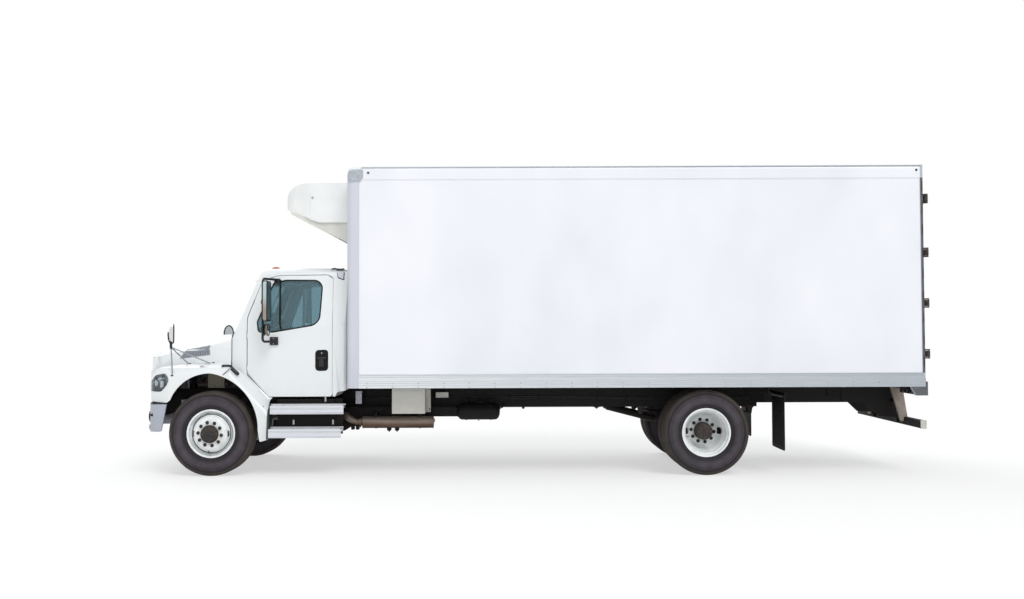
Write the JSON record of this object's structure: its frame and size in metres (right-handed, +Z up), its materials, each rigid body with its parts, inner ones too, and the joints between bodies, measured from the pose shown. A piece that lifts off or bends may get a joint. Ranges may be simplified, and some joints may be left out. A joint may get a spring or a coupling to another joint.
{
  "type": "box truck",
  "caption": "Conventional-cab box truck with a long refrigerated van body, a front refrigeration unit, twin rear wheels, opening cab and cargo doors, tilting hood and steered front wheels.",
  "frame": {"origin": "on the ground under the middle of the truck", "axes": "+X towards the front of the truck, +Y towards its left side, +Z up"},
  "size_m": [9.8, 2.81, 3.7998],
  "materials": {
    "white_paint": "gloss",
    "panel_white": "gloss",
    "rail_grey": "satin",
    "frame_black": "satin",
    "engine_grey": "rough",
    "chrome": "polished",
    "aluminium": "brushed",
    "brown_steel": "weathered",
    "tyre": "matte",
    "rubber": "matte",
    "wheel_white": "gloss",
    "glass": "tinted",
    "lens": "clear",
    "black_plastic": "satin",
    "trim_grey": "matte",
    "seat_cloth": "woven"
  },
  "bodies": {
    "chassis": {"frame": "frame_black", "front_bumper": "white_paint", "leaf_springs": "frame_black", "front_axle": "frame_black", "rear_axle": "frame_black", "driveshaft": "frame_black", "engine": "engine_grey", "exhaust": "brown_steel", "equipment_box": "rail_grey", "air_tanks": "frame_black", "battery_box": "frame_black", "fuel_tank": "aluminium", "cab_steps": "aluminium", "mudflaps": "rubber", "underride_guard": "frame_black", "van_floor": "rail_grey", "van_walls": "panel_white", "van_roof": "panel_white", "body_rails": "rail_grey", "corner_posts": "rail_grey", "rear_portal": "rail_grey", "refrigeration_unit": "white_paint", "refrigeration_tray": "trim_grey", "cab_shell": "white_paint", "cab_glass": "glass", "dashboard": "trim_grey", "seats": "seat_cloth", "seat_bases": "black_plastic"},
    "door_left": {"cab_door_left": "white_paint", "door_glass_left": "glass", "door_mirror_left": "chrome"},
    "door_right": {"cab_door_right": "white_paint", "door_glass_right": "glass", "door_mirror_right": "chrome"},
    "tilting_hood": {"hood": "white_paint", "grille": "black_plastic", "headlights": "lens", "hood_mirrors": "chrome"},
    "cargo_door_left": {"rear_door_left": "panel_white"},
    "cargo_door_right": {"rear_door_right": "panel_white"},
    "steering_left": {"knuckle_left": "frame_black"},
    "steering_right": {"knuckle_right": "frame_black"},
    "front_wheel_left": {"front_tyre_left": "tyre", "front_rim_left": "wheel_white"},
    "front_wheel_right": {"front_tyre_right": "tyre", "front_rim_right": "wheel_white"},
    "rear_wheels_left": {"rear_tyres_left": "tyre", "rear_rims_left": "wheel_white"},
    "rear_wheels_right": {"rear_tyres_right": "tyre", "rear_rims_right": "wheel_white"}
  },
  "joints": [
    {"name": "hood_tilt", "type": "hinge", "parent": "chassis", "child": "tilting_hood", "pos_m": [4.775, 0, 0.72], "axis": [0, 1, 0], "range_deg": [0, 65]},
    {"name": "cab_door_left_swing", "type": "hinge", "parent": "chassis", "child": "door_left", "pos_m": [3.503, 1.02, 1.7], "axis": [0, 0, -1], "range_deg": [0, 70]},
    {"name": "cab_door_right_swing", "type": "hinge", "parent": "chassis", "child": "door_right", "pos_m": [3.503, -1.02, 1.7], "axis": [0, 0, 1], "range_deg": [0, 70]},
    {"name": "rear_door_left_swing", "type": "hinge", "parent": "chassis", "child": "cargo_door_left", "pos_m": [-4.885, 1.312, 2.4], "axis": [0, 0, -1], "range_deg": [0, 270]},
    {"name": "rear_door_right_swing", "type": "hinge", "parent": "chassis", "child": "cargo_door_right", "pos_m": [-4.885, -1.312, 2.4], "axis": [0, 0, 1], "range_deg": [0, 270]},
    {"name": "steer_left", "type": "hinge", "parent": "chassis", "child": "steering_left", "pos_m": [3.915, 0.9, 0.522], "axis": [0, 0, 1], "range_deg": [-38, 38]},
    {"name": "steer_right", "type": "hinge", "parent": "chassis", "child": "steering_right", "pos_m": [3.915, -0.9, 0.522], "axis": [0, 0, 1], "range_deg": [-38, 38]},
    {"name": "front_wheel_left_spin", "type": "hinge", "parent": "steering_left", "child": "front_wheel_left", "pos_m": [3.915, 1.025, 0.522], "axis": [0, 1, 0], "continuous": true},
    {"name": "front_wheel_right_spin", "type": "hinge", "parent": "steering_right", "child": "front_wheel_right", "pos_m": [3.915, -1.025, 0.522], "axis": [0, 1, 0], "continuous": true},
    {"name": "rear_wheels_left_spin", "type": "hinge", "parent": "chassis", "child": "rear_wheels_left", "pos_m": [-2.185, 0.925, 0.522], "axis": [0, 1, 0], "continuous": true},
    {"name": "rear_wheels_right_spin", "type": "hinge", "parent": "chassis", "child": "rear_wheels_right", "pos_m": [-2.185, -0.925, 0.522], "axis": [0, 1, 0], "continuous": true}
  ],
  "couplings": [
    {"joint": "steer_right", "follows": "steer_left", "ratio": 1}
  ]
}
